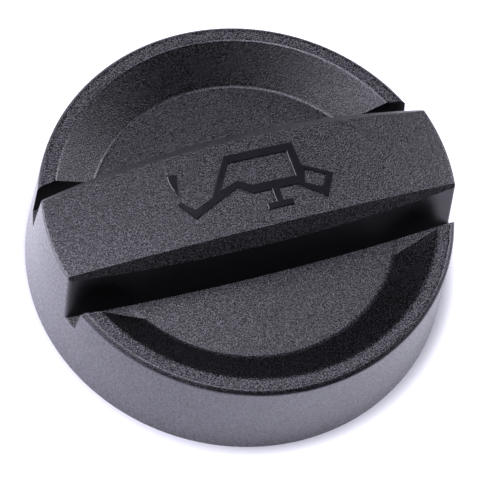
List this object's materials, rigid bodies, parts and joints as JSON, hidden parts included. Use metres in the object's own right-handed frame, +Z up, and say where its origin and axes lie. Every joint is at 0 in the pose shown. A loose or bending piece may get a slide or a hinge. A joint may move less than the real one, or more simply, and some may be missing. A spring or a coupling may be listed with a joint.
{
  "type": "oil filler cap",
  "caption": "Round black plastic oil filler cap with a dished top, a bevelled grip bar across it, drain slots, and a bayonet spigot with a rubber sealing ring underneath.",
  "frame": {"origin": "centre of the skirt's foot, on the plane that the cap stands on", "axes": "+Z up along the spigot's axis, out through the grip bar; +X along the grip bar"},
  "size_m": [0.0661, 0.066, 0.0237],
  "materials": {
    "black_plastic": "fine spark-eroded grain on top, smooth satin skirt",
    "black_rubber": "matt rubber"
  },
  "bodies": {
    "root": {"cap_body": "black_plastic", "sealing_ring": "black_rubber"}
  },
  "joints": []
}
